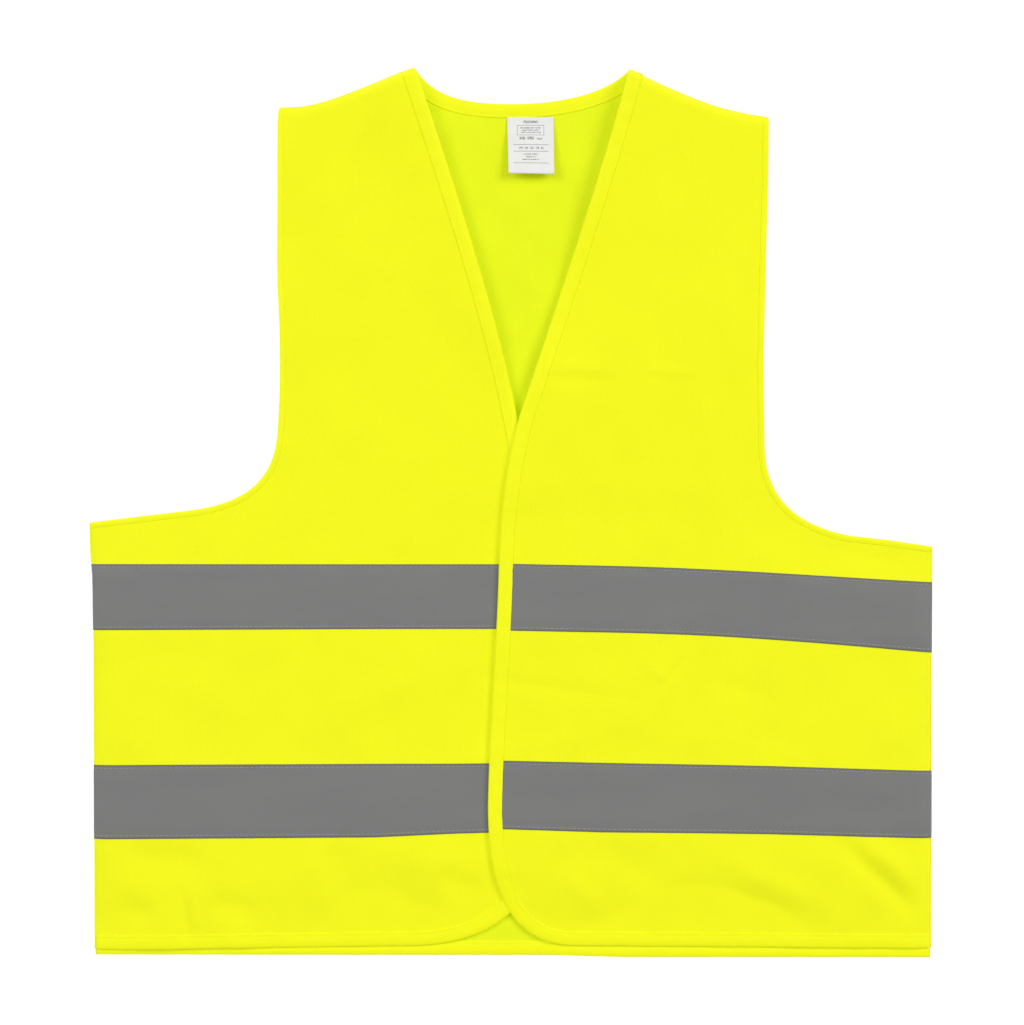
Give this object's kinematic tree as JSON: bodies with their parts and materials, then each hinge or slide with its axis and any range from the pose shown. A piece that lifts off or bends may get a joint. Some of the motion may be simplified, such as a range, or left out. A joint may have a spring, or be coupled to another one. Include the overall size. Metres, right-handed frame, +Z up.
{
  "type": "high visibility vest",
  "caption": "Sleeveless safety vest laid flat: V neck, lapped fronts that fold open, bound edges, reflective bands round the waist and a care label inside the neck.",
  "frame": {"origin": "centre of the vest's outline on the surface it lies on, under its back", "axes": "+X towards the wearer's left side, +Y towards the neck, +Z up through the back and then the fronts"},
  "size_m": [0.6191, 0.6526, 0.0124],
  "materials": {
    "hi_vis_cloth": "matte",
    "binding": "satin",
    "reflective_band": "satin",
    "grey_thread": "satin",
    "yellow_thread": "satin",
    "hook_tape": "satin",
    "loop_tape": "matte",
    "label_satin": "satin"
  },
  "bodies": {
    "vest_body": {"back_panel": "hi_vis_cloth", "right_front_side": "hi_vis_cloth", "left_front_side": "hi_vis_cloth", "right_side_seam": "hi_vis_cloth", "left_side_seam": "hi_vis_cloth", "right_shoulder_seam": "hi_vis_cloth", "left_shoulder_seam": "hi_vis_cloth", "back_neck_binding": "binding", "back_hem_binding": "binding", "right_hem_binding": "binding", "left_hem_binding": "binding", "right_armhole_front_binding": "binding", "right_armhole_back_binding": "binding", "left_armhole_front_binding": "binding", "left_armhole_back_binding": "binding", "back_upper_band": "reflective_band", "back_lower_band": "reflective_band", "right_upper_band": "reflective_band", "right_lower_band": "reflective_band", "left_upper_band": "reflective_band", "left_lower_band": "reflective_band", "back_band_threads": "grey_thread", "right_band_threads": "grey_thread", "left_band_threads": "grey_thread", "label_stitches": "grey_thread", "back_neck_thread": "yellow_thread", "back_hem_thread": "yellow_thread", "right_hem_thread": "yellow_thread", "left_hem_thread": "yellow_thread", "right_armhole_front_thread": "yellow_thread", "right_armhole_back_thread": "yellow_thread", "left_armhole_front_thread": "yellow_thread", "left_armhole_back_thread": "yellow_thread"},
    "left_front": {"left_front_flap": "hi_vis_cloth", "left_front_binding": "binding", "left_front_thread": "yellow_thread", "left_upper_band_end": "reflective_band", "left_lower_band_end": "reflective_band", "left_band_end_threads": "grey_thread", "loop_patch_upper": "loop_tape", "loop_patch_lower": "loop_tape", "loop_patch_stitches": "yellow_thread"},
    "right_front": {"right_front_flap": "hi_vis_cloth", "right_front_binding": "binding", "right_front_thread": "yellow_thread", "right_upper_band_end": "reflective_band", "right_lower_band_end": "reflective_band", "right_band_end_threads": "grey_thread", "hook_patch_upper": "hook_tape", "hook_patch_lower": "hook_tape", "hook_patch_stitches": "yellow_thread"},
    "label": {"care_label": "label_satin"}
  },
  "joints": [
    {"name": "left_front_fold", "type": "hinge", "parent": "vest_body", "child": "left_front", "pos_m": [0.157, -0.32, 0.01265], "axis": [-0.0919, 0.9958, 0], "range_deg": [0, 170]},
    {"name": "right_front_fold", "type": "hinge", "parent": "vest_body", "child": "right_front", "pos_m": [-0.152, -0.32, 0.00955], "axis": [-0.1053, -0.9944, 0], "range_deg": [0, 119]},
    {"name": "label_fold", "type": "hinge", "parent": "vest_body", "child": "label", "pos_m": [0.013, 0.2895, 0.0018], "axis": [-1, 0, 0], "range_deg": [0, 160]}
  ],
  "couplings": [
    {"joint": "right_front_fold", "follows": "left_front_fold", "ratio": 0.7}
  ]
}
